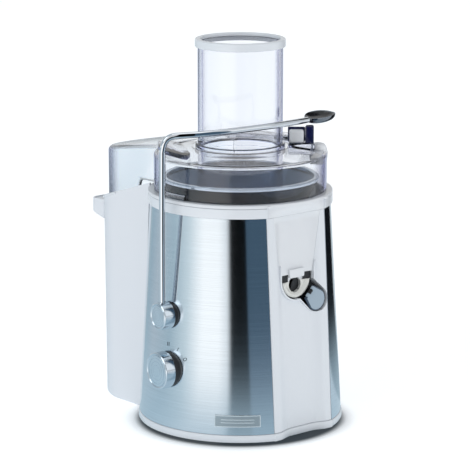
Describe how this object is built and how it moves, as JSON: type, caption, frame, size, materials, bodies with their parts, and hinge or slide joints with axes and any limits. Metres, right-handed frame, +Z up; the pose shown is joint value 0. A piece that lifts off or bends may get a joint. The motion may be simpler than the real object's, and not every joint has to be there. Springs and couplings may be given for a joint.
{
  "type": "centrifugal juicer",
  "caption": "Upright juice extractor: brushed drum with white front, clear lid with tall feed tube, bail lock over the lid, pulp bin behind and a spout with a fold-over stop.",
  "frame": {"origin": "middle of the footprint, on the table", "axes": "+Z up; the spout faces -Y, the pulp container stands on +Y, the knobs are on -X"},
  "size_m": [0.2128, 0.297, 0.3805],
  "materials": {
    "white_shell": "glossy white moulded plastic",
    "collector": "glossy white moulded plastic",
    "container": "satin white moulded plastic",
    "steel_band": "brushed round the body",
    "clear_lid": "clear polycarbonate, slightly blue, stands in as glass",
    "chrome": "polished",
    "badge": "satin blank plate",
    "knob_metal": "spun faces, polished sides",
    "grey_plastic": "satin blue-grey",
    "dark_plastic": "fine moulded grain",
    "capacitor": "plain",
    "rubber": "matte",
    "lamination": "stacked sheet steel",
    "copper": "enamelled copper",
    "carbon": "carbon",
    "basket_steel": "etched stainless mesh and disc",
    "plain_steel": "plain turned steel"
  },
  "bodies": {
    "housing": {"base_pan": "white_shell", "bottom_cover": "dark_plastic", "foot_1": "rubber", "foot_2": "rubber", "foot_3": "rubber", "foot_4": "rubber", "steel_shell": "steel_band", "front_panel": "white_shell", "top_ring": "white_shell", "inner_housing": "dark_plastic", "juice_collector": "collector", "lid": "clear_lid", "feed_tube": "clear_lid", "feed_ring": "white_shell", "badge_plate": "badge", "stator": "lamination", "field_coil_1": "copper", "field_coil_2": "copper", "upper_bracket": "plain_steel", "upper_bearing": "plain_steel", "lower_bracket": "plain_steel", "lower_bearing": "plain_steel", "tie_bolt_1": "plain_steel", "tie_bolt_2": "plain_steel", "brush_holder_1": "plain_steel", "brush_holder_2": "plain_steel", "carbon_brush_1": "carbon", "carbon_brush_2": "carbon", "damper_1": "rubber", "damper_2": "rubber", "damper_3": "rubber", "shaft_seal": "rubber", "suppressor_capacitor": "capacitor", "cord_gland": "dark_plastic", "arm_bushing": "dark_plastic", "interlock_switch": "dark_plastic", "selector_bezel": "dark_plastic", "speed_switch": "dark_plastic"},
    "arm": {"locking_arm": "chrome", "arm_paddle": "chrome", "arm_knob": "knob_metal", "arm_shaft": "plain_steel", "interlock_cam": "dark_plastic"},
    "selector": {"selector_knob": "knob_metal", "selector_shaft": "plain_steel"},
    "rotor": {"motor_shaft": "plain_steel", "armature": "lamination", "commutator": "copper", "cooling_fan": "dark_plastic", "drive_coupling": "dark_plastic", "filter_basket": "basket_steel", "basket_rim": "basket_steel", "cutter_disc": "basket_steel", "disc_cap": "basket_steel"},
    "flap": {"drip_stop": "grey_plastic"},
    "container": {"pulp_container": "container"},
    "plunger": {"interlock_plunger": "plain_steel"}
  },
  "joints": [
    {"name": "arm_swing", "type": "hinge", "parent": "housing", "child": "arm", "pos_m": [-0.10208, -0.05503, 0.121], "axis": [0.9945, -0.1045, 0], "range_deg": [0, 100]},
    {"name": "plunger_press", "type": "slide", "parent": "housing", "child": "plunger", "axis": [0, 0, 1], "range_m": [0, 0.003]},
    {"name": "selector_turn", "type": "hinge", "parent": "housing", "child": "selector", "pos_m": [-0.10458, -0.05573, 0.0675], "axis": [0.9945, -0.1045, 0], "range_deg": [0, 60]},
    {"name": "rotor_spin", "type": "hinge", "parent": "housing", "child": "rotor", "pos_m": [0.00542, -0.05353, 0.1], "axis": [0, 0, 1], "continuous": true},
    {"name": "flap_fold", "type": "hinge", "parent": "housing", "child": "flap", "pos_m": [0.0197, -0.13953, 0.14172], "axis": [-0.7071, 0, -0.7071], "range_deg": [0, 170]},
    {"name": "container_slide", "type": "slide", "parent": "housing", "child": "container", "axis": [0, 1, 0], "range_m": [0, 0.15]}
  ],
  "couplings": [
    {"joint": "plunger_press", "follows": "arm_swing", "m_per_rad": 0.0017189}
  ]
}
